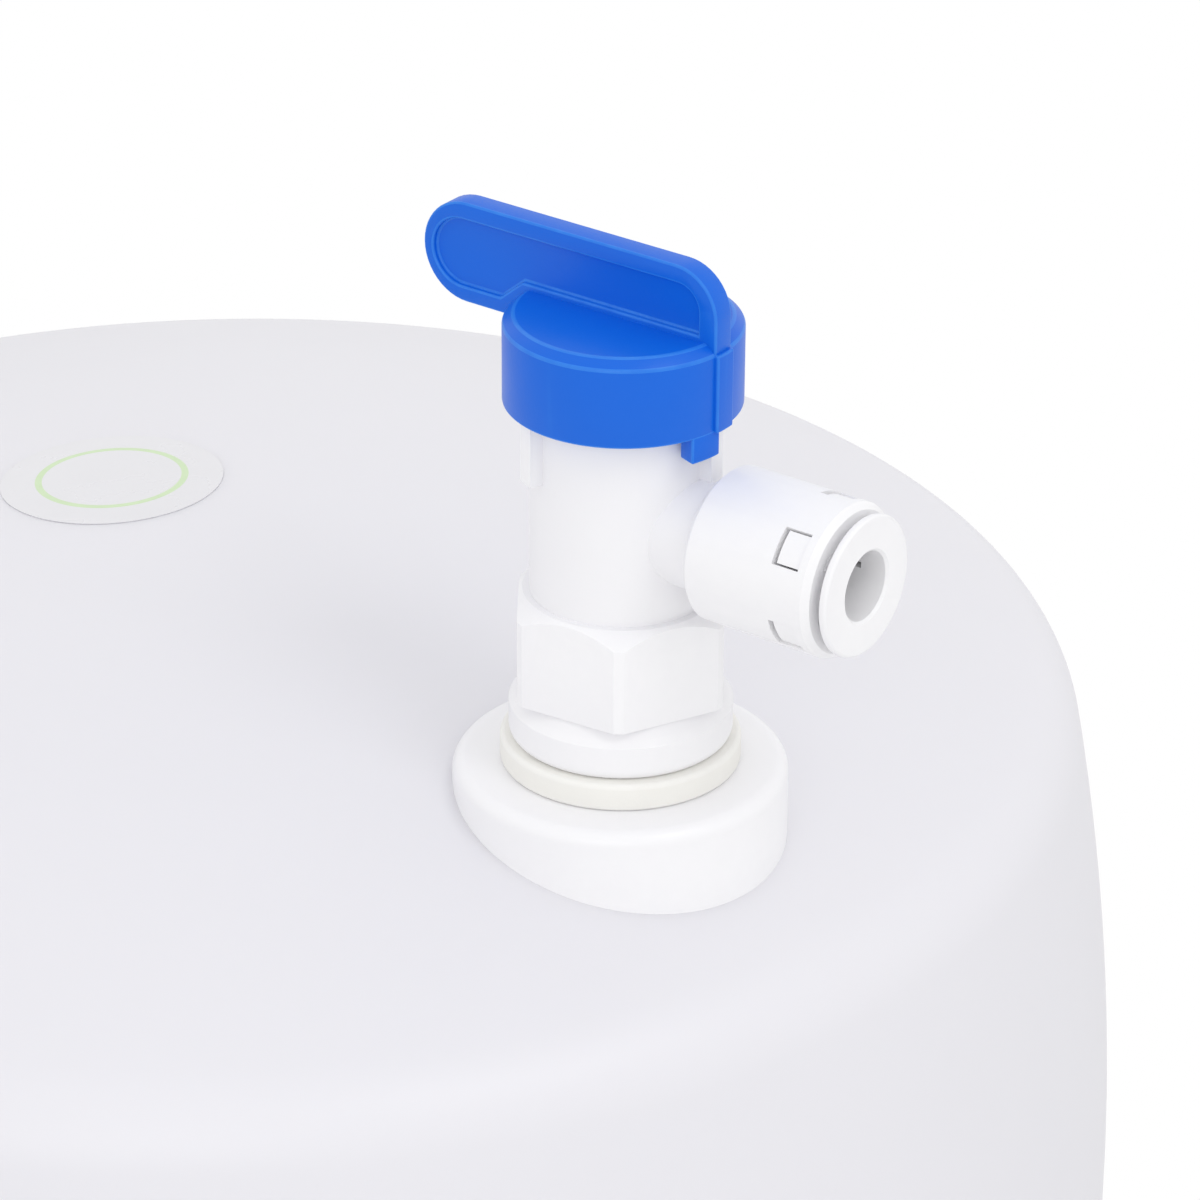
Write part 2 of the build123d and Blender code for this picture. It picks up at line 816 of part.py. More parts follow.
with BuildPart() as outlet_cartridge:
    with BuildSketch(outlet_section):
        with BuildLine():
            Polyline(
                (barb_start, cartridge_bore),
                (barb_start, cartridge_radius),
                (barb_end, barb_reach),
                (barb_end, cartridge_bore),
                close=True,
            )
        make_face()
    revolve(axis=outlet_axis)
    for window in range(window_count):
        gap_middle = window_first_angle + (window + 0.5) * 360 / window_count
        gap_angle = 360 / window_count - barb_angle
        with BuildSketch(across_outlet(barb_start)):
            with BuildLine():
                ring_sector(barb_cut_radius, housing_radius, gap_middle - gap_angle / 2, gap_angle)
            make_face()
        extrude(amount=barb_start - barb_end, mode=Mode.SUBTRACT)
    with BuildSketch(outlet_section):
        with BuildLine():
            Polyline(
                (cartridge_back, cartridge_bore),
                (cartridge_back, cartridge_radius),
                (cartridge_front, cartridge_radius),
                (cartridge_front, lip_radius),
                (cartridge_front - lip_length, lip_radius),
                (cartridge_front - lip_length, cartridge_bore),
                close=True,
            )
        make_face()
    revolve(axis=outlet_axis)
outlet_cartridge.part.label = "outlet_cartridge"
export_step(outlet_cartridge.part, "parts/outlet_cartridge.step")

# Release collet: the flanged sleeve that is pushed in to free the tube
flange_front = collet_shoulder + flange_thickness
ridge_end = cartridge_front - lip_length - running_gap

with BuildPart() as release_collet:
    with BuildSketch(outlet_section):
        with BuildLine():
            Polyline(
                (collet_nose, tube_bore),
                (collet_nose, collet_radius - mouth_bevel),
                (collet_nose + mouth_bevel, collet_radius),
                (ridge_end - collet_ridge_length, collet_radius),
                (ridge_end - collet_ridge, collet_radius + collet_ridge),
                (ridge_end, collet_radius + collet_ridge),
                (ridge_end, collet_radius),
                (collet_shoulder, collet_radius),
                (collet_shoulder, flange_radius),
                (flange_front, flange_radius),
                (flange_front, tube_bore + mouth_bevel),
                (flange_front - mouth_bevel, tube_bore),
                close=True,
            )
        make_face()
    revolve(axis=outlet_axis)
    with BuildSketch(across_outlet(collet_nose)):
        with PolarLocations(collet_radius, collet_slits):
            Rectangle(2 * (collet_radius - tube_radius) + collet_ridge, slit_width)
    extrude(amount=collet_nose - ridge_end, mode=Mode.SUBTRACT)
    flange_rim = release_collet.edges().filter_by(GeomType.CIRCLE).sort_by(SortBy.RADIUS)[-2:]
    fillet(flange_rim, flange_edge)
release_collet.part.label = "release_collet"
export_step(release_collet.part, "parts/release_collet.step")

# Round label, bent to the crown
crown_centre = tank_top - crown_radius

with BuildPart() as round_label:
    with Locations((label_x, label_y, tank_top)):
        Cylinder(label_radius, label_radius)
    with Locations((0, 0, crown_centre)):
        Sphere(crown_radius + label_glue + label_thickness, mode=Mode.INTERSECT)
        Sphere(crown_radius + label_glue, mode=Mode.SUBTRACT)
round_label.part.label = "round_label"
export_step(round_label.part, "parts/round_label.step")

# Air valve grommet: a rubber seal between the stem's head and the shell
shell_floor = floor_clearance + wall
air_tip = floor_clearance - air_stem_drop

with BuildPart() as air_grommet:
    with BuildSketch(Plane.XY.offset(shell_floor)):
        Circle(grommet_radius)
    extrude(amount=grommet_thickness)
    with Locations((0, 0, floor_clearance + crown_radius)):
        Sphere(crown_radius - wall, mode=Mode.INTERSECT)
    with BuildSketch(Plane.XY.offset(floor_clearance)):
        Circle(air_stem_radius + grommet_sleeve)
    extrude(amount=wall + grommet_thickness)
    with BuildSketch(Plane.XY.offset(floor_clearance)):
        Circle(air_stem_radius)
    extrude(amount=wall + grommet_thickness, mode=Mode.SUBTRACT)
air_grommet.part.label = "air_grommet"
export_step(air_grommet.part, "parts/air_grommet.step")

# Air valve stem: a brass tube with a head inside the tank
stem_head_level = shell_floor + grommet_thickness

with BuildPart() as air_valve_stem:
    with BuildSketch(Plane.XY.offset(air_tip)):
        Circle(air_stem_radius)
    extrude(amount=stem_head_level - air_tip)
    with BuildSketch(Plane.XY.offset(stem_head_level)):
        Circle(air_stem_head_radius)
    extrude(amount=air_stem_head)
    with BuildSketch(Plane.XY.offset(air_tip)):
        Circle(air_stem_bore)
    extrude(amount=stem_head_level + air_stem_head - air_tip, mode=Mode.SUBTRACT)
air_valve_stem.part.label = "air_valve_stem"
export_step(air_valve_stem.part, "parts/air_valve_stem.step")

# Washer and nut that clamp the stem from below
washer_bottom = floor_clearance - air_washer_thickness
nut_bottom = washer_bottom - air_nut_thickness

with BuildPart() as air_washer:
    with BuildSketch(Plane.XY.offset(washer_bottom)):
        Circle(air_washer_radius)
        Circle(air_stem_radius + fit_gap, mode=Mode.SUBTRACT)
    extrude(amount=air_washer_thickness)
air_washer.part.label = "air_washer"
export_step(air_washer.part, "parts/air_washer.step")

with BuildPart() as air_nut:
    with BuildSketch(Plane.XY.offset(nut_bottom)):
        RegularPolygon(air_nut_across_flats / 2, 6, major_radius=False)
        Circle(air_stem_radius + fit_gap, mode=Mode.SUBTRACT)
    extrude(amount=air_nut_thickness)
air_nut.part.label = "air_nut"
export_step(air_nut.part, "parts/air_nut.step")

# Valve core: the tube in the stem's bore, with a narrow seat at its inner end
core_bottom = air_tip + core_recess
core_top = core_bottom + core_length
core_radius = air_stem_bore - fit_gap
core_bore = core_radius - core_wall

with BuildPart() as valve_core:
    with BuildSketch(Plane.XZ):
        with BuildLine():
            Polyline(
                (core_bore, core_bottom),
                (core_radius, core_bottom),
                (core_radius, core_top),
                (pin_radius + running_gap, core_top),
                (pin_radius + running_gap, core_top - core_seat),
                (core_bore, core_top - core_seat),
                close=True,
            )
        make_face()
    revolve(axis=Axis.Z)
valve_core.part.label = "valve_core"
export_step(valve_core.part, "parts/valve_core.step")

# Core pin: pressed upwards it lifts its head off the core's inner end
collar_level = core_bottom + pin_collar_level
collar_end = collar_level + pin_collar_height

with BuildPart() as core_pin:
    with BuildSketch(Plane.XZ):
        with BuildLine():
            Polyline(
                (0, core_bottom - pin_tip),
                (pin_radius, core_bottom - pin_tip),
                (pin_radius, collar_level),
                (pin_collar_radius, collar_level),
                (pin_collar_radius, collar_end),
                (pin_radius, collar_end),
                (pin_radius, core_top),
                (pin_head_radius, core_top),
                (pin_head_radius, core_top + pin_head_height),
                (0, core_top + pin_head_height),
                close=True,
            )
        make_face()
    revolve(axis=Axis.Z)
core_pin.part.label = "core_pin"
export_step(core_pin.part, "parts/core_pin.step")

# Core spring: between the pin's collar and the core's seat
spring_bottom = collar_end + spring_wire / 2
spring_height = core_top - core_seat - spring_wire - collar_end

with BuildPart() as core_spring:
    with BuildLine():
        coil = Helix(spring_height / spring_turns, spring_height, spring_radius, center=(0, 0, spring_bottom))
    with BuildSketch(coil ^ 0):
        Circle(spring_wire / 2)
    sweep(is_frenet=True)
core_spring.part.label = "core_spring"
export_step(core_spring.part, "parts/core_spring.step")

# Air valve cap: a closed cap over the stem's end, with grips round its side
air_cap_bore = air_stem_radius + running_gap
air_cap_radius = air_cap_bore + air_cap_wall
air_cap_bottom = air_tip - air_cap_gap - air_cap_end

with BuildPart() as air_valve_cap:
    with BuildSketch(Plane.XY.offset(air_cap_bottom)):
        Circle(air_cap_radius)
        with PolarLocations(air_cap_radius, air_cap_grips):
            Circle(grip_radius, mode=Mode.SUBTRACT)
    extrude(amount=air_cap_height)
    with BuildSketch(Plane.XY.offset(air_cap_bottom + air_cap_end)):
        Circle(air_cap_bore)
    extrude(amount=air_cap_height, mode=Mode.SUBTRACT)
air_valve_cap.part.label = "air_valve_cap"
export_step(air_valve_cap.part, "parts/air_valve_cap.step")
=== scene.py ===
import json
from math import asin, cos, pi, radians, sin, sqrt

import bmesh
import bpy
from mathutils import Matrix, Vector


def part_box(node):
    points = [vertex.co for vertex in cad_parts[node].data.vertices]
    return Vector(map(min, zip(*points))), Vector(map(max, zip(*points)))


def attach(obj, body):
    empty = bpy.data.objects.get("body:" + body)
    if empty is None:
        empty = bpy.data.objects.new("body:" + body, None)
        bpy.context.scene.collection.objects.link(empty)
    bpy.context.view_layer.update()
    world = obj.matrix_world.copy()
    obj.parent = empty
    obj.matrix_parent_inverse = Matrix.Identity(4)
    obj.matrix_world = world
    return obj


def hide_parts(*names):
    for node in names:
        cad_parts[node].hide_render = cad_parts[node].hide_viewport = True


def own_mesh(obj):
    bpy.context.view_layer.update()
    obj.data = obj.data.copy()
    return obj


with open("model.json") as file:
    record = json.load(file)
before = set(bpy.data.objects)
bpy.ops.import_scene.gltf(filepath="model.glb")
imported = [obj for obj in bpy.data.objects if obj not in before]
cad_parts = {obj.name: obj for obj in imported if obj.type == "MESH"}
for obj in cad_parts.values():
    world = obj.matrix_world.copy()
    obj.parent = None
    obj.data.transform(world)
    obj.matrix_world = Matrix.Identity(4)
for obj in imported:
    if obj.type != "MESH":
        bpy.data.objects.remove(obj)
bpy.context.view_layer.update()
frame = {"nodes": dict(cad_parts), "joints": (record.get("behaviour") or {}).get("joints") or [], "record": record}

bl_info = {
    "name": "Pressurized Water Tank",
    "version": (1, 0, 0),
    "blender": (4, 5, 0),
    "location": "View3D > Sidebar > Water Tank",
    "description": "Builds the finish, the shells, the handle and the studio of a small water tank",
    "category": "Object",
}

# Places taken from the frame, in metres
joints = {joint["name"]: joint for joint in frame["joints"]}
mounts = {mount["name"]: mount for mount in frame["record"]["mounts"]}
valve_point = Vector(joints["handle_turn"]["pos_m"])
socket_point = Vector(mounts["tube_socket"]["pos_m"])
shell_low, shell_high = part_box("upper_shell")
base_low, base_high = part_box("lower_shell")
washer_low, washer_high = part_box("port_washer")
fitting_low, fitting_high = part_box("port_fitting")
label_low, label_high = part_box("round_label")

MM = 0.001
SPIN_STEPS = 192
SHELL_STEPS = 288
LABEL_STEPS = 96
SHARP = radians(28)


class TankSizes(bpy.types.PropertyGroup):
    """Sizes of the two shells and their weld collar."""

    crown_radius: bpy.props.FloatProperty(
        name="Crown radius", description="Radius of the domed end", default=0.248, unit="LENGTH")
    knuckle_radius: bpy.props.FloatProperty(
        name="Knuckle radius", description="Radius between the dome and the side",
        default=0.009, unit="LENGTH")
    side_radius: bpy.props.FloatProperty(
        name="Side radius", description="Radius of the side's slow curve", default=0.27, unit="LENGTH")
    side_lean: bpy.props.FloatProperty(
        name="Side lean", description="Lean of the side where the knuckle starts",
        default=radians(10.8), subtype="ANGLE")
    wall: bpy.props.FloatProperty(
        name="Wall", description="Thickness of the shells", default=0.003, unit="LENGTH")
    seam_proud: bpy.props.FloatProperty(
        name="Seam collar", description="How far the weld collar stands out", default=0.001, unit="LENGTH")
    seam_height: bpy.props.FloatProperty(
        name="Seam height", description="Height of the weld collar", default=0.008, unit="LENGTH")


class HandleSizes(bpy.types.PropertyGroup):
    """Sizes of the blue handle."""

    cap_radius: bpy.props.FloatProperty(
        name="Cap radius", description="Radius of the cap", default=0.011, unit="LENGTH")
    cap_side: bpy.props.FloatProperty(
        name="Cap side", description="Height of the cap's straight side", default=0.0076, unit="LENGTH")
    cap_bevel: bpy.props.FloatProperty(
        name="Cap bevel", description="Width of the bevel round the cap's top", default=0.001, unit="LENGTH")
    lever_thickness: bpy.props.FloatProperty(
        name="Lever thickness", description="Thickness of the lever", default=0.0024, unit="LENGTH")
    lever_reach: bpy.props.FloatProperty(
        name="Lever reach", description="Reach of the lever past the axis", default=0.0219, unit="LENGTH")
    pocket_depth: bpy.props.FloatProperty(
        name="Pocket depth", description="Depth of the pocket in each face", default=0.0006, unit="LENGTH")
    edge: bpy.props.FloatProperty(
        name="Edge radius", description="Radius of the moulded edges", default=0.0003, unit="LENGTH")


class OutletSizes(bpy.types.PropertyGroup):
    """Sizes of the barbs in the outlet's snap windows."""

    start: bpy.props.FloatProperty(
        name="Start", description="From the valve's axis to the barbs", default=0.0215, unit="LENGTH")
    length: bpy.props.FloatProperty(
        name="Length", description="Length of a barb along the outlet", default=0.0024, unit="LENGTH")
    root: bpy.props.FloatProperty(
        name="Root", description="Radius where a barb stands on the sleeve", default=0.0052, unit="LENGTH")
    face: bpy.props.FloatProperty(
        name="Face", description="Radius of a barb's outer face", default=0.0071, unit="LENGTH")
    spread: bpy.props.FloatProperty(
        name="Spread", description="Angle that a barb covers", default=radians(25.4), subtype="ANGLE")
    first: bpy.props.FloatProperty(
        name="First", description="Angle of the first barb", default=radians(40), subtype="ANGLE")
    count: bpy.props.IntProperty(name="Count", description="Number of barbs", default=5)


class TankColours(bpy.types.PropertyGroup):
    """Colours of the plastics, as they are seen."""

    shell: bpy.props.FloatVectorProperty(
        name="Shell", description="Colour of the tank", default=(0.79, 0.782, 0.822), subtype="COLOR")
    fitting: bpy.props.FloatVectorProperty(
        name="Valve", description="Colour of the valve", default=(0.89, 0.885, 0.905), subtype="COLOR")
    washer: bpy.props.FloatVectorProperty(
        name="Washer", description="Colour of the washer", default=(0.87, 0.86, 0.82), subtype="COLOR")
    handle: bpy.props.FloatVectorProperty(
        name="Handle", description="Colour of the handle", default=(0.001, 0.128, 0.7), subtype="COLOR")
    label: bpy.props.FloatVectorProperty(
        name="Label", description="Colour of the label", default=(0.77, 0.765, 0.79), subtype="COLOR")
    mark: bpy.props.FloatVectorProperty(
        name="Mark", description="Colour of the ring on the label",
        default=(0.62, 0.77, 0.5), subtype="COLOR")


class StudioSettings(bpy.types.PropertyGroup):
    """Camera and light."""

    azimuth: bpy.props.FloatProperty(
        name="Azimuth", description="Turn of the camera round the tank",
        default=radians(36.3), subtype="ANGLE")
    elevation: bpy.props.FloatProperty(
        name="Elevation", description="Height of the camera as an angle",
        default=radians(26.93), subtype="ANGLE")
    roll: bpy.props.FloatProperty(
        name="Roll", description="Tilt of the camera to its side", default=radians(0.307), subtype="ANGLE")
    distance: bpy.props.FloatProperty(
        name="Distance", description="From the camera to the point it aims at",
        default=0.47301, unit="LENGTH")
    aim: bpy.props.FloatVectorProperty(
        name="Aim", description="From the valve's centre to the point that the camera aims at",
        default=(0.0033, -0.00786, -0.01635), subtype="XYZ", unit="LENGTH")
    lens: bpy.props.FloatProperty(
        name="Lens", description="Focal length in millimetres", default=156.5, unit="CAMERA")
    sky: bpy.props.FloatProperty(
        name="Sky", description="Strength of the even light from all round", default=0.94)
    key: bpy.props.FloatProperty(
        name="Key", description="Power of the soft lamp at the right", default=0.75, unit="POWER")
    key_size: bpy.props.FloatProperty(
        name="Key size", description="Width of the lamp at the right", default=0.35, unit="LENGTH")
    key_turn: bpy.props.FloatProperty(
        name="Key turn", description="Turn of that lamp from the camera",
        default=radians(48), subtype="ANGLE")
    key_lift: bpy.props.FloatProperty(
        name="Key lift", description="Height of that lamp as an angle", default=radians(50), subtype="ANGLE")
    fill: bpy.props.FloatProperty(
        name="Fill", description="Power of the large low lamp in front", default=0.6, unit="POWER")
    fill_size: bpy.props.FloatProperty(
        name="Fill size", description="Width of the lamp in front", default=0.5, unit="LENGTH")
    fill_turn: bpy.props.FloatProperty(
        name="Fill turn", description="Turn of that lamp from the camera",
        default=radians(-12), subtype="ANGLE")
    fill_lift: bpy.props.FloatProperty(
        name="Fill lift", description="Height of that lamp as an angle", default=radians(20), subtype="ANGLE")
    lamp_distance: bpy.props.FloatProperty(
        name="Lamp distance", description="From the valve to both lamps", default=0.8, unit="LENGTH")


def arc(centre, radius, start, end, steps):
    """Points on an arc from one angle to another, both ends included."""
    turn = (end - start) / steps
    return [
        (centre[0] + radius * cos(start + i * turn), centre[1] + radius * sin(start + i * turn))
        for i in range(steps + 1)
    ]


def spin_round(bm, verts, edges, steps):
    """Spins points and edges a full turn about the upright axis."""
    bmesh.ops.spin(
        bm, geom=verts + edges, cent=(0, 0, 0), axis=(0, 0, 1), angle=2 * pi, steps=steps, use_merge=True)


def spin_outline(bm, outline, steps=SPIN_STEPS):
    """Spins a closed outline of (distance from the axis, height) into a closed solid."""
    verts = [bm.verts.new((radius, 0, height)) for radius, height in outline]
    edges = [bm.edges.new((verts[i - 1], verts[i])) for i in range(len(verts))]
    spin_round(bm, verts, edges, steps)


def raise_slab(bm, corners, travel):
    """A flat outline of points drawn out along the travel."""
    face = bm.faces.new([bm.verts.new(corner) for corner in corners])
    raised = bmesh.ops.extrude_face_region(bm, geom=[face])
    moved = [item for item in raised["geom"] if isinstance(item, bmesh.types.BMVert)]
    bmesh.ops.translate(bm, verts=moved, vec=travel)


def close_up(bm, distance=1e-6):
    """Merges doubles and turns every face outwards."""
    bmesh.ops.remove_doubles(bm, verts=bm.verts, dist=distance)
    loose = [edge for edge in bm.edges if not edge.link_faces]
    bmesh.ops.delete(bm, geom=loose, context="EDGES")
    bmesh.ops.recalc_face_normals(bm, faces=bm.faces)


def round_edges(bm, width, segments=3, angle=SHARP):
    """Rounds every edge that turns by more than the angle, and marks the new faces as rims, where the edge finish
    paints a highlight.
    """
    rim = bm.faces.layers.float.new("rim")
    sharp = [edge for edge in bm.edges if len(edge.link_faces) == 2 and edge.calc_face_angle() > angle]
    rounded = bmesh.ops.bevel(
        bm, geom=sharp, offset=width, offset_type="OFFSET", segments=segments, profile=0.5,
        affect="EDGES", clamp_overlap=True, material=-1)
    for face in rounded["faces"]:
        face[rim] = 1.0


def finish_piece(bm, name, material, body, nodes, place=(0, 0, 0)):
    """Makes the object of a piece, smooth but for its sharp edges, and sets it on its body."""
    bmesh.ops.translate(bm, verts=bm.verts, vec=place)
    mesh = bpy.data.meshes.new(name)
    bm.to_mesh(mesh)
    bm.free()
    mesh.materials.append(material)
    mesh.shade_smooth()
    mesh.set_sharp_from_angle(angle=SHARP)
    piece = bpy.data.objects.new(name, mesh)
    bpy.context.scene.collection.objects.link(piece)
    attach(piece, body)
    if nodes:
        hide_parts(*nodes)
    return piece


def new_group(name, inputs, outputs):
    """An empty shader node group with its sockets, and its input and output nodes."""
    group = bpy.data.node_groups.new(name, "ShaderNodeTree")
    for label, kind, default in inputs:
        socket = group.interface.new_socket(name=label, in_out="INPUT", socket_type=kind)
        socket.default_value = default
    for label, kind in outputs:
        group.interface.new_socket(name=label, in_out="OUTPUT", socket_type=kind)
    return group, group.nodes.new("NodeGroupInput"), group.nodes.new("NodeGroupOutput")


def math_node(group, operation, first, second):
    """A Math node; each input is a number or an output socket."""
    node = group.nodes.new("ShaderNodeMath")
    node.operation = operation
    for socket, value in zip(node.inputs, (first, second)):
        if isinstance(value, (int, float)):
            socket.default_value = value
        else:
            group.links.new(value, socket)
    return node.outputs[0]


def noise_node(group, coordinates, scale, detail=2.0):
    """A Noise texture on the given coordinates; scale is a number or an output socket."""
    node = group.nodes.new("ShaderNodeTexNoise")
    node.inputs["Detail"].default_value = detail
    group.links.new(coordinates, node.inputs["Vector"])
    if isinstance(scale, (int, float)):
        node.inputs["Scale"].default_value = scale
    else:
        group.links.new(scale, node.inputs["Scale"])
    return node.outputs["Fac"]


def moulded_group():
    """Moulded plastic: cloudy colour, uneven gloss, and a fine skin with slow waves."""
    group, start, end = new_group(
        "moulded skin",
        [
            ("Colour", "NodeSocketColor", (0.8, 0.8, 0.8, 1)),
            ("Cloud", "NodeSocketFloat", 0.03),
            ("Cloud scale", "NodeSocketFloat", 40.0),
            ("Gloss", "NodeSocketFloat", 0.4),
            ("Gloss spread", "NodeSocketFloat", 0.12),
            ("Grain scale", "NodeSocketFloat", 3000.0),
            ("Wave scale", "NodeSocketFloat", 120.0),
            ("Wave share", "NodeSocketFloat", 0.5),
        ],
        [("Colour", "NodeSocketColor"), ("Roughness", "NodeSocketFloat"), ("Height", "NodeSocketFloat")],
    )
    place = group.nodes.new("ShaderNodeTexCoord").outputs["Object"]
    cloud = noise_node(group, place, start.outputs["Cloud scale"], 3.0)
    uneven = math_node(group, "SUBTRACT", cloud, 0.5)
    lift = math_node(group, "MULTIPLY", uneven, start.outputs["Cloud"])
    shade = group.nodes.new("ShaderNodeHueSaturation")
    group.links.new(start.outputs["Colour"], shade.inputs["Color"])
    group.links.new(math_node(group, "ADD", lift, 1.0), shade.inputs["Value"])
    group.links.new(shade.outputs["Color"], end.inputs["Colour"])
    smear = noise_node(group, place, start.outputs["Wave scale"], 4.0)
    smeared = math_node(group, "SUBTRACT", smear, 0.5)
    spread = math_node(group, "MULTIPLY", smeared, start.outputs["Gloss spread"])
    group.links.new(math_node(group, "ADD", spread, start.outputs["Gloss"]), end.inputs["Roughness"])
    grain = noise_node(group, place, start.outputs["Grain scale"], 2.0)
    wave = math_node(group, "MULTIPLY", smear, start.outputs["Wave share"])
    group.links.new(math_node(group, "ADD", grain, wave), end.inputs["Height"])
    return group


def edge_group():
    """Lightened edges, partly wear and partly painted highlight: outer edges and marked rims, broken up by noise,
    and a colour lightened there.
    """
    group, start, end = new_group(
        "edge wear and painted highlight",
        [
            ("Colour", "NodeSocketColor", (0.8, 0.8, 0.8, 1)),
            ("Edge colour", "NodeSocketColor", (1, 1, 1, 1)),
            ("Strength", "NodeSocketFloat", 0.3),
            ("Rim strength", "NodeSocketFloat", 0.3),
            ("Patch scale", "NodeSocketFloat", 700.0),
        ],
        [("Colour", "NodeSocketColor")],
    )
    # Convex edges (high pointiness) get a lighter colour: a painted highlight on the rounded edges, together with
    # wear.
    pointed = group.nodes.new("ShaderNodeNewGeometry").outputs["Pointiness"]
    above = group.nodes.new("ShaderNodeMapRange")
    above.inputs["From Min"].default_value = 0.505
    above.inputs["From Max"].default_value = 0.56
    group.links.new(pointed, above.inputs["Value"])
    place = group.nodes.new("ShaderNodeTexCoord").outputs["Object"]
    patches = noise_node(group, place, start.outputs["Patch scale"], 3.0)
    # The rim mark from round_edges lightens the bevel faces: a painted highlight.
    marked = group.nodes.new("ShaderNodeAttribute")
    marked.attribute_name = "rim"
    wear_and_highlight_edges = math_node(group, "MULTIPLY", above.outputs["Result"], start.outputs["Strength"])
    rims = math_node(group, "MULTIPLY", marked.outputs["Fac"], start.outputs["Rim strength"])
    most = math_node(group, "MAXIMUM", wear_and_highlight_edges, rims)
    mask = math_node(group, "MULTIPLY", most, math_node(group, "ADD", patches, 0.4))
    blend = group.nodes.new("ShaderNodeMix")
    blend.data_type = "RGBA"
    group.links.new(mask, blend.inputs["Factor"])
    group.links.new(start.outputs["Colour"], blend.inputs["A"])
    group.links.new(start.outputs["Edge colour"], blend.inputs["B"])
    group.links.new(blend.outputs["Result"], end.inputs["Colour"])
    return group


def moulded_material(name, colour, gloss, cloud=0.03, cloud_scale=40.0, bump=0.05, edge=0.25,
                     edge_colour=(1, 1, 1), rim=0.2, grain=3000.0, spread=0.12, wave=0.5, wave_scale=120.0):
    """A plastic or rubber with the moulded skin and lightened edges (wear and painted highlight), and its
    Principled shader.
    """
    material = bpy.data.materials.new(name)
    material.use_nodes = True
    tree = material.node_tree
    shader = tree.nodes["Principled BSDF"]
    skin = tree.nodes.new("ShaderNodeGroup")
    skin.node_tree = bpy.data.node_groups["moulded skin"]
    skin.inputs["Colour"].default_value = (*colour, 1)
    skin.inputs["Cloud"].default_value = cloud
    skin.inputs["Cloud scale"].default_value = cloud_scale
    skin.inputs["Gloss"].default_value = gloss
    skin.inputs["Gloss spread"].default_value = spread
    skin.inputs["Grain scale"].default_value = grain
    skin.inputs["Wave scale"].default_value = wave_scale
    skin.inputs["Wave share"].default_value = wave
    # Edges and rims are lightened towards the edge colour: painted highlight together with wear.
    wear_and_highlight_node = tree.nodes.new("ShaderNodeGroup")
    wear_and_highlight_node.node_tree = bpy.data.node_groups["edge wear and painted highlight"]
    wear_and_highlight_node.inputs["Edge colour"].default_value = (*edge_colour, 1)
    wear_and_highlight_node.inputs["Strength"].default_value = edge
    wear_and_highlight_node.inputs["Rim strength"].default_value = rim
    relief = tree.nodes.new("ShaderNodeBump")
    relief.inputs["Strength"].default_value = bump
    relief.inputs["Distance"].default_value = 0.1 * MM
    tree.links.new(skin.outputs["Colour"], wear_and_highlight_node.inputs["Colour"])
    tree.links.new(wear_and_highlight_node.outputs["Colour"], shader.inputs["Base Color"])
    tree.links.new(skin.outputs["Roughness"], shader.inputs["Roughness"])
    tree.links.new(skin.outputs["Height"], relief.inputs["Height"])
    tree.links.new(relief.outputs["Normal"], shader.inputs["Normal"])
    return material


def dress_node(node, material):
    """Gives a node of the frame its finish."""
    slots = frame["nodes"][node].data.materials
    slots.clear()
    slots.append(material)


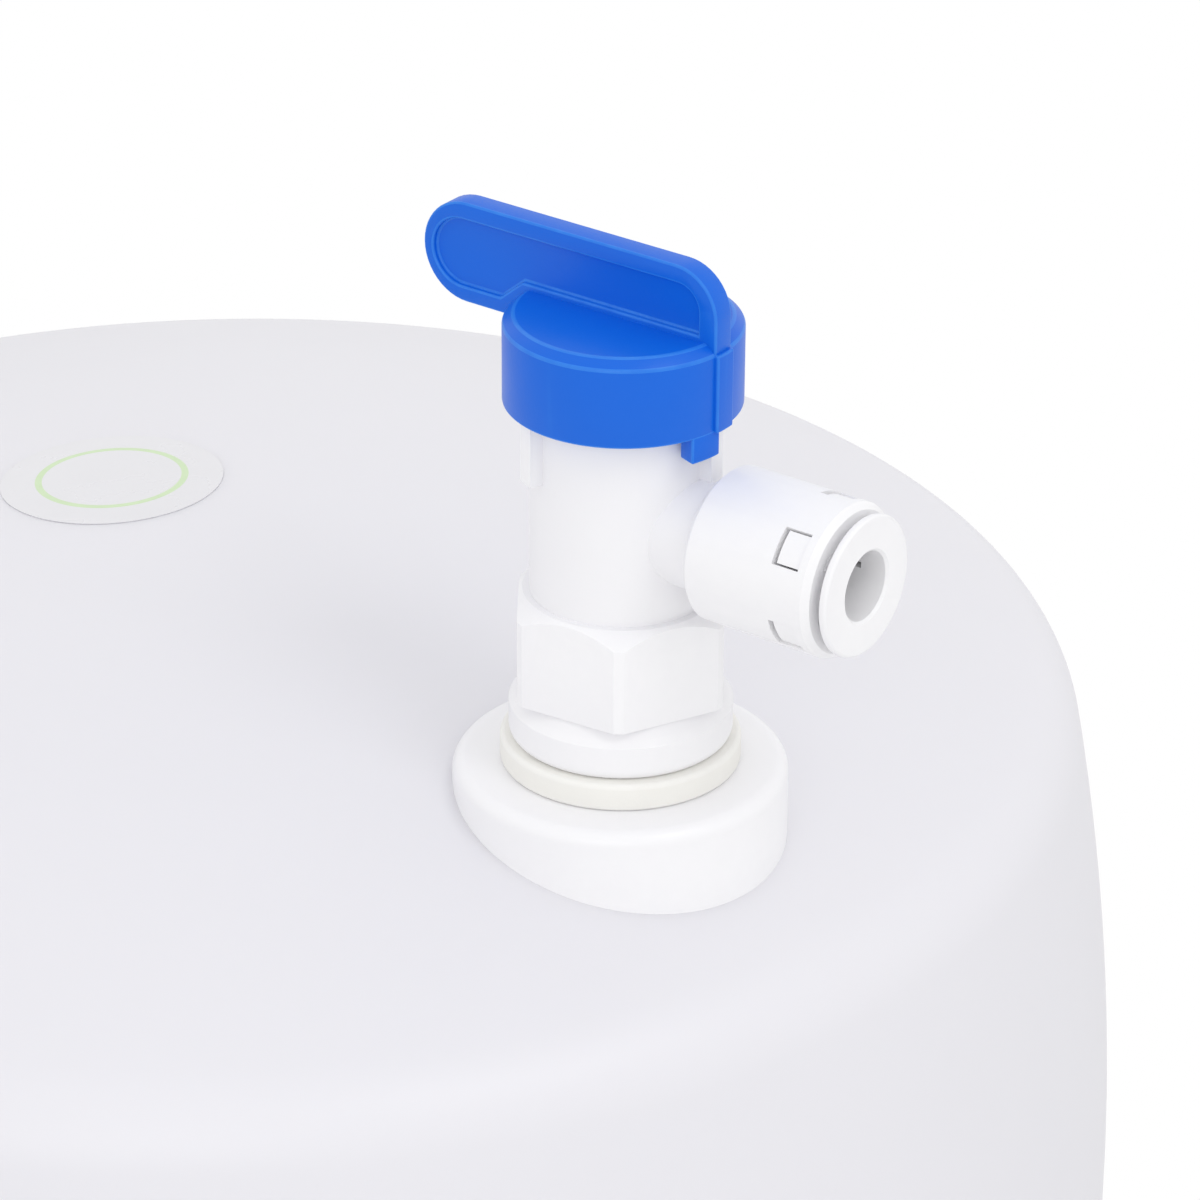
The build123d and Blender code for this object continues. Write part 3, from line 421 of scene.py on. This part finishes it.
class BuildMaterials(bpy.types.Operator):
    """Make the plastics, rubbers and metals, and dress the carried-over nodes"""

    bl_idname = "water_tank.materials"
    bl_label = "Materials"

    def execute(self, context):
        colours = context.scene.tank_colours
        moulded_group()
        edge_group()
        shell = moulded_material("shell plastic", colours.shell, 0.42, cloud=0.035, cloud_scale=18.0,
                                 bump=0.04, edge=0.1, wave=1.5, wave_scale=60.0)
        shader = shell.node_tree.nodes["Principled BSDF"]
        shader.inputs["Subsurface Weight"].default_value = 0.2
        shader.inputs["Subsurface Radius"].default_value = (1.0, 0.97, 0.92)
        shader.inputs["Subsurface Scale"].default_value = 4 * MM
        fitting = moulded_material("valve plastic", colours.fitting, 0.34, cloud=0.02, cloud_scale=90.0,
                                   bump=0.05)
        # The washer's rounded rims are lightened towards white: a painted highlight.
        washer = moulded_material("washer rubber", colours.washer, 0.6, cloud=0.06, cloud_scale=260.0,
                                  bump=0.12, edge=0.1)
        # The lighter blue on the handle's rims and edges is a painted highlight along its bevels.
        handle = moulded_material("handle plastic", colours.handle, 0.36, cloud=0.05, cloud_scale=150.0,
                                  bump=0.08, edge=0.05, edge_colour=(0.08, 0.4, 0.95), rim=0.28, wave=0.8)
        handle.node_tree.nodes["Principled BSDF"].inputs["Specular IOR Level"].default_value = 0.3
        film = moulded_material("label film", colours.label, 0.28, cloud=0.04, cloud_scale=200.0,
                                bump=0.03, edge=0.0)
        moulded_material("label mark", colours.mark, 0.4, cloud=0.1, cloud_scale=500.0, bump=0.02, edge=0.0)
        black = moulded_material("black rubber", (0.02, 0.02, 0.02), 0.62, cloud=0.3, cloud_scale=200.0,
                                 bump=0.2, edge=0.4, edge_colour=(0.12, 0.12, 0.12))
        seat = moulded_material("seat plastic", (0.85, 0.85, 0.83), 0.5, cloud=0.04, cloud_scale=200.0)
        brass = moulded_material("turned brass", (0.74, 0.52, 0.22), 0.3, cloud=0.15, cloud_scale=400.0,
                                 bump=0.1, edge=0.4, edge_colour=(0.95, 0.8, 0.5))
        steel = moulded_material("stamped steel", (0.62, 0.62, 0.63), 0.28, cloud=0.1, cloud_scale=600.0,
                                 bump=0.1)
        for metal in (brass, steel):
            metal.node_tree.nodes["Principled BSDF"].inputs["Metallic"].default_value = 1.0
        finishes = {
            "tank_plastic": shell,
            "stand_plastic": shell,
            "valve_plastic": fitting,
            "stem_plastic": fitting,
            "clamp_plastic": seat,
            "seat_plastic": seat,
            "blue_plastic": handle,
            "washer_rubber": washer,
            "black_rubber": black,
            "cap_plastic": black,
            "label_film": film,
            "brass": brass,
            "steel": steel,
        }
        for part in frame["record"]["subparts"]:
            dress_node(part["node"], finishes[part["material_slot"]])
        return {"FINISHED"}


class FitSpring(bpy.types.Operator):
    """Give the air valve's spring a mesh of its own"""

    bl_idname = "water_tank.spring"
    bl_label = "Spring"

    def execute(self, context):
        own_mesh(frame["nodes"]["core_spring"])
        return {"FINISHED"}


def dome_outline(sizes, radius, inset, belt, way):
    """Crown, knuckle and side from the axis to the belt, as (radius, height); way is 1 up or -1 down."""
    crown = sizes.crown_radius - inset
    knuckle = sizes.knuckle_radius - inset
    side = sizes.side_radius - inset
    lean = sizes.side_lean
    side_centre = radius - sizes.side_radius
    knuckle_centre = (
        side_centre + (sizes.side_radius - sizes.knuckle_radius) * cos(lean),
        (sizes.side_radius - sizes.knuckle_radius) * sin(lean),
    )
    reach = sizes.crown_radius - sizes.knuckle_radius
    crown_turn = asin(knuckle_centre[0] / reach)
    crown_centre = knuckle_centre[1] - reach * cos(crown_turn)
    crown_steps, knuckle_steps, side_steps = 28, 14, 14
    points = arc((0, crown_centre), crown, pi / 2, pi / 2 - crown_turn, crown_steps)
    points += arc(knuckle_centre, knuckle, pi / 2 - crown_turn, lean, knuckle_steps)[1:]
    points += arc((side_centre, 0), side, lean, 0, side_steps)[1:]
    points[0] = (0.0, points[0][1])
    return [(x, belt + way * y) for x, y in points]


class BuildShells(bpy.types.Operator):
    """Build the two welded shells of the tank"""

    bl_idname = "water_tank.shells"
    bl_label = "Shells"

    def execute(self, context):
        sizes = context.scene.tank_sizes
        radius = shell_high.x - sizes.seam_proud
        seam = shell_low.z
        material = bpy.data.materials["shell plastic"]
        shells = (
            ("tank_dome", "upper_shell", shell_high.z, 1),
            ("tank_bottom", "lower_shell", base_low.z, -1),
        )
        for name, node, apex, way in shells:
            rise = dome_outline(sizes, radius, 0, 0, 1)[0][1]
            belt = apex - way * rise
            outer = dome_outline(sizes, radius, 0, belt, way)
            inner = dome_outline(sizes, radius, sizes.wall, belt, way)
            half = way * sizes.seam_height / 2
            proud = sizes.seam_proud
            collar = [
                (radius, seam + half), (radius + proud, seam + half - way * proud), (radius + proud, seam),
                (radius - sizes.wall, seam),
            ]
            bm = bmesh.new()
            spin_outline(bm, outer + collar + inner[::-1], SHELL_STEPS)
            close_up(bm)
            finish_piece(bm, name, material, "tank", [node])
        return {"FINISHED"}


class BuildPort(bpy.types.Operator):
    """Build the boss with its nipple, and the cream washer"""

    bl_idname = "water_tank.port"
    bl_label = "Port and washer"

    def execute(self, context):
        boss = (fitting_high.x - fitting_low.x) / 2
        top = washer_low.z - valve_point.z
        bottom = fitting_low.z - valve_point.z
        tip = fitting_high.z - valve_point.z
        wall = 3 * MM
        bore = 3.5 * MM
        nipple = 6.55 * MM
        corner = 1.4 * MM
        bevel = 0.8 * MM
        outline = [(bore, bottom), (bore + wall, bottom), (bore + wall, top - wall)]
        outline += [(boss - wall, top - wall), (boss - wall, bottom), (boss, bottom)]
        outline += arc((boss - corner, top - corner), corner, 0, pi / 2, 8)
        outline += [(nipple, top), (nipple, tip - bevel), (nipple - bevel, tip), (bore, tip)]
        bm = bmesh.new()
        spin_outline(bm, outline)
        close_up(bm)
        white = bpy.data.materials["valve plastic"]
        finish_piece(bm, "port_boss", white, "tank", ["port_fitting"], valve_point)
        washer = (washer_high.x - washer_low.x) / 2
        high = washer_high.z - valve_point.z
        hole = nipple + 0.05 * MM
        washer_edge = 0.45 * MM
        bm = bmesh.new()
        spin_outline(bm, [(hole, top), (washer, top), (washer, high), (hole, high)])
        close_up(bm)
        round_edges(bm, washer_edge, segments=4)
        cream = bpy.data.materials["washer rubber"]
        finish_piece(bm, "cream_washer", cream, "tank", ["port_washer"], valve_point)
        return {"FINISHED"}


def lever_outline(sizes):
    """The lever's outer outline as (x, height), from its lower edge round its far end."""
    top = 15.2 * MM
    low = 5.4 * MM
    root = 6.6 * MM
    front = 11.0 * MM
    corner = 4.6 * MM
    half = (top - low) / 2
    far = -sizes.lever_reach + half
    inside = -9.9 * MM
    points = [(inside, root), (inside, low)]
    points += arc((far, low + half), half, -pi / 2, -3 * pi / 2, 24)
    points += arc((front - corner, top - corner), corner, pi / 2, 0, 12)
    points += [(front, root)]
    return points


def pocket_outline(sizes):
    """The pocket's outline as (x, height), stepped up over the cap."""
    high = 13.5 * MM
    low = 6.9 * MM
    step = 9.0 * MM
    front = 9.05 * MM
    corner = 2.4 * MM
    rim = 1.1 * MM
    slope_top = -10.6 * MM
    slope_foot = -13.1 * MM
    half = (high - low) / 2
    far = -sizes.lever_reach + rim + half
    points = arc((far, low + half), half, -pi / 2, -3 * pi / 2, 20)
    points += arc((front - corner, high - corner), corner, pi / 2, 0, 10)
    points += [(front, step), (slope_top, step), (slope_foot, low)]
    return points


def loop_edges(bm, outline, y):
    """A closed loop of edges in an upright plane."""
    verts = [bm.verts.new((x, y, z)) for x, z in outline]
    return [bm.edges.new((verts[i - 1], verts[i])) for i in range(len(verts))]


def add_lever(bm, sizes):
    """The lever: a framed blade whose two faces have a shallow pocket."""
    outer = lever_outline(sizes)
    inner = pocket_outline(sizes)
    rims = []
    for side in (-1, 1):
        y = side * sizes.lever_thickness / 2
        rim = loop_edges(bm, outer, y)
        lip = loop_edges(bm, inner, y)
        fill = bmesh.ops.triangle_fill(bm, edges=rim + lip, use_beauty=True, normal=(0, side, 0))
        faces = [item for item in fill["geom"] if isinstance(item, bmesh.types.BMFace)]
        edges = list({edge for face in faces for edge in face.edges})
        bmesh.ops.dissolve_limit(bm, angle_limit=radians(1), verts=[], edges=edges)
        sunk = bmesh.ops.extrude_edge_only(bm, edges=lip)
        verts = [item for item in sunk["geom"] if isinstance(item, bmesh.types.BMVert)]
        bmesh.ops.translate(bm, verts=verts, vec=(0, -side * sizes.pocket_depth, 0))
        floor = [item for item in sunk["geom"] if isinstance(item, bmesh.types.BMEdge)]
        bmesh.ops.contextual_create(bm, geom=floor)
        rims.append(rim)
    bmesh.ops.bridge_loops(bm, edges=rims[0] + rims[1])


def sector(inner, outer, start, end, steps=10):
    """A piece of a ring as a flat outline."""
    return arc((0, 0), outer, start, end, steps) + arc((0, 0), inner, end, start, steps)


class BuildHandle(bpy.types.Operator):
    """Build the blue handle: cap, pocketed lever, side rib and stop tab"""

    bl_idname = "water_tank.handle"
    bl_label = "Handle"

    def execute(self, context):
        sizes = context.scene.handle_sizes
        radius = sizes.cap_radius
        bevel_height = 0.9 * MM
        top = sizes.cap_side + bevel_height
        inside = 9.3 * MM
        roof = 6 * MM
        hub = 4.2 * MM
        hub_low = 2.7 * MM
        bm = bmesh.new()
        spin_outline(bm, [
            (0, top), (radius - sizes.cap_bevel, top), (radius, sizes.cap_side), (radius, 0), (inside, 0),
            (inside, roof), (hub, roof), (hub, hub_low), (0, hub_low),
        ])
        close_up(bm)
        add_lever(bm, sizes)
        rib_half = asin(sizes.lever_thickness / 2 / radius)
        rib_root = inside + 0.5 * MM
        rib_proud = 0.4 * MM
        rib = sector(rib_root, radius + rib_proud, -rib_half, rib_half)
        raise_slab(bm, [(x, y, 0) for x, y in rib], (0, 0, sizes.cap_side))
        tab_inside = 9.1 * MM
        tab_start = radians(-19.6)
        tab_end = radians(-1.6)
        tab_sunk = 0.3 * MM
        tab_drop = 2.4 * MM
        tab = sector(tab_inside, radius, tab_start, tab_end)
        raise_slab(bm, [(x, y, tab_sunk) for x, y in tab], (0, 0, -tab_sunk - tab_drop))
        close_up(bm)
        round_edges(bm, sizes.edge)
        blue = bpy.data.materials["handle plastic"]
        finish_piece(bm, "blue_handle", blue, "lever", ["handle"], valve_point)
        return {"FINISHED"}


class BuildCartridge(bpy.types.Operator):
    """Build the outlet's cartridge, whose barbs fill the snap windows"""

    bl_idname = "water_tank.cartridge"
    bl_label = "Cartridge"

    def execute(self, context):
        sizes = context.scene.outlet_sizes
        bm = bmesh.new()
        bm.from_mesh(frame["nodes"]["outlet_cartridge"].data)
        start = valve_point.x + sizes.start
        for barb in range(sizes.count):
            middle = sizes.first + barb * 2 * pi / sizes.count
            shape = sector(sizes.root, sizes.face, middle - sizes.spread / 2, middle + sizes.spread / 2)
            corners = [(start, valve_point.y - across, socket_point.z + up) for across, up in shape]
            raise_slab(bm, corners, (sizes.length, 0, 0))
        close_up(bm)
        white = bpy.data.materials["valve plastic"]
        finish_piece(bm, "snap_cartridge", white, "tank", ["outlet_cartridge"])
        return {"FINISHED"}


class BuildLabel(bpy.types.Operator):
    """Build the round film label with a plain ring"""

    bl_idname = "water_tank.label"
    bl_label = "Label"

    def execute(self, context):
        sizes = context.scene.tank_sizes
        centre = (label_low + label_high) / 2
        radius = (label_high.x - label_low.x) / 2
        lift = 0.03 * MM
        thickness = 0.08 * MM
        rings = 16
        ring_inside, ring_outside = 0.62, 0.69
        crown_centre = shell_high.z - sizes.crown_radius

        def on_crown(x, y, above):
            reach = sizes.crown_radius + above
            return crown_centre + sqrt(reach**2 - x**2 - y**2)

        bm = bmesh.new()
        verts = [bm.verts.new((radius * i / rings, 0, 0)) for i in range(rings + 1)]
        edges = [bm.edges.new((verts[i], verts[i + 1])) for i in range(rings)]
        spin_round(bm, verts, edges, LABEL_STEPS)
        close_up(bm)
        bmesh.ops.translate(bm, verts=bm.verts, vec=(centre.x, centre.y, 0))
        for vert in bm.verts:
            vert.co.z = on_crown(vert.co.x, vert.co.y, lift)
        for face in bm.faces:
            away = face.calc_center_median()
            share = sqrt((away.x - centre.x)**2 + (away.y - centre.y)**2) / radius
            if ring_inside < share < ring_outside:
                face.material_index = 1
        bmesh.ops.recalc_face_normals(bm, faces=bm.faces)
        bmesh.ops.solidify(bm, geom=bm.faces, thickness=-thickness)
        close_up(bm)
        film = bpy.data.materials["label film"]
        disc = finish_piece(bm, "label_disc", film, "tank", ["round_label"])
        disc.data.materials.append(bpy.data.materials["label mark"])
        return {"FINISHED"}


class BuildStudio(bpy.types.Operator):
    """Set up the camera, the floor, the even sky and the soft lamp"""

    bl_idname = "water_tank.studio"
    bl_label = "Studio"

    def execute(self, context):
        settings = context.scene.studio_settings
        scene = context.scene
        scene.view_settings.view_transform = "Standard"
        self.add_camera(scene, settings)
        self.add_floor()
        self.add_sky(scene, settings)
        key_turn = settings.azimuth + settings.key_turn
        fill_turn = settings.azimuth + settings.fill_turn
        away = settings.lamp_distance
        self.add_lamp("key lamp", settings.key, settings.key_size, key_turn, settings.key_lift, away)
        self.add_lamp("front lamp", settings.fill, settings.fill_size, fill_turn, settings.fill_lift, away)
        return {"FINISHED"}

    def add_camera(self, scene, settings):
        turn, lift, roll = settings.azimuth, settings.elevation, settings.roll
        back = Vector((sin(turn) * cos(lift), -cos(turn) * cos(lift), sin(lift)))
        level = Vector((cos(turn), sin(turn), 0))
        upright = back.cross(level)
        right = cos(roll) * level + sin(roll) * upright
        up = back.cross(right)
        aim = valve_point + Vector(settings.aim)
        data = bpy.data.cameras.new("camera")
        data.sensor_width = 36
        data.lens = settings.lens
        camera = bpy.data.objects.new("camera", data)
        scene.collection.objects.link(camera)
        matrix = camera.matrix_world.copy()
        for row in range(3):
            matrix[row][0] = right[row]
            matrix[row][1] = up[row]
            matrix[row][2] = back[row]
            matrix[row][3] = (aim + back * settings.distance)[row]
        camera.matrix_world = matrix
        scene.camera = camera

    def add_floor(self):
        bm = bmesh.new()
        bmesh.ops.create_grid(bm, x_segments=8, y_segments=8, size=3)
        mesh = bpy.data.meshes.new("floor")
        bm.to_mesh(mesh)
        bm.free()
        floor = bpy.data.objects.new("floor", mesh)
        bpy.context.scene.collection.objects.link(floor)
        material = bpy.data.materials.new("floor")
        material.use_nodes = True
        tree = material.node_tree
        shader = tree.nodes["Principled BSDF"]
        shader.inputs["Base Color"].default_value = (0.86, 0.86, 0.86, 1)
        shader.inputs["Roughness"].default_value = 0.9
        white = tree.nodes.new("ShaderNodeEmission")
        white.inputs["Strength"].default_value = 1.0
        rays = tree.nodes.new("ShaderNodeLightPath")
        seen = tree.nodes.new("ShaderNodeMixShader")
        tree.links.new(rays.outputs["Is Camera Ray"], seen.inputs["Fac"])
        tree.links.new(shader.outputs["BSDF"], seen.inputs[1])
        tree.links.new(white.outputs["Emission"], seen.inputs[2])
        below = tree.nodes.new("ShaderNodeMixShader")
        clear = tree.nodes.new("ShaderNodeBsdfTransparent")
        facing = tree.nodes.new("ShaderNodeNewGeometry")
        tree.links.new(facing.outputs["Backfacing"], below.inputs["Fac"])
        tree.links.new(seen.outputs["Shader"], below.inputs[1])
        tree.links.new(clear.outputs["BSDF"], below.inputs[2])
        tree.links.new(below.outputs["Shader"], tree.nodes["Material Output"].inputs["Surface"])
        mesh.materials.append(material)

    def add_sky(self, scene, settings):
        world = bpy.data.worlds.new("sky")
        world.use_nodes = True
        scene.world = world
        tree = world.node_tree
        background = tree.nodes["Background"]
        background.inputs["Color"].default_value = (1, 1, 1, 1)
        rays = tree.nodes.new("ShaderNodeLightPath")
        seen = math_node(tree, "MAXIMUM", rays.outputs["Is Camera Ray"], rays.outputs["Is Glossy Ray"])
        seen = math_node(tree, "MAXIMUM", seen, rays.outputs["Is Transmission Ray"])
        extra = math_node(tree, "MULTIPLY", seen, 1.0 - settings.sky)
        strength = math_node(tree, "ADD", extra, settings.sky)
        tree.links.new(strength, background.inputs["Strength"])

    def add_lamp(self, name, power, size, turn, lift, away):
        data = bpy.data.lights.new(name, "AREA")
        data.shape = "DISK"
        data.size = size
        data.energy = power
        lamp = bpy.data.objects.new(name, data)
        bpy.context.scene.collection.objects.link(lamp)
        way = Vector((sin(turn) * cos(lift), -cos(turn) * cos(lift), sin(lift)))
        lamp.location = valve_point + way * away
        lamp.rotation_euler = way.to_track_quat("Z", "Y").to_euler()


class TankPanel(bpy.types.Panel):
    """Lists the tank's building steps"""

    bl_idname = "VIEW3D_PT_water_tank"
    bl_label = "Water Tank"
    bl_space_type = "VIEW_3D"
    bl_region_type = "UI"
    bl_category = "Water Tank"

    def draw(self, context):
        for step in building_steps:
            self.layout.operator(step.bl_idname)


settings_groups = {
    "tank_sizes": TankSizes,
    "handle_sizes": HandleSizes,
    "outlet_sizes": OutletSizes,
    "tank_colours": TankColours,
    "studio_settings": StudioSettings,
}
building_steps = (
    BuildMaterials,
    FitSpring,
    BuildShells,
    BuildPort,
    BuildHandle,
    BuildCartridge,
    BuildLabel,
    BuildStudio,
)


def register():
    for group in settings_groups.values():
        bpy.utils.register_class(group)
    for name, group in settings_groups.items():
        setattr(bpy.types.Scene, name, bpy.props.PointerProperty(type=group))
    for step in building_steps:
        bpy.utils.register_class(step)
    bpy.utils.register_class(TankPanel)


def unregister():
    bpy.utils.unregister_class(TankPanel)
    for step in reversed(building_steps):
        bpy.utils.unregister_class(step)
    for name in settings_groups:
        delattr(bpy.types.Scene, name)
    for group in settings_groups.values():
        bpy.utils.unregister_class(group)


def main():
    register()
    bpy.ops.water_tank.materials()
    bpy.ops.water_tank.spring()
    bpy.ops.water_tank.shells()
    bpy.ops.water_tank.port()
    bpy.ops.water_tank.handle()
    bpy.ops.water_tank.cartridge()
    bpy.ops.water_tank.label()
    bpy.ops.water_tank.studio()


if __name__ == "__main__":
    main()
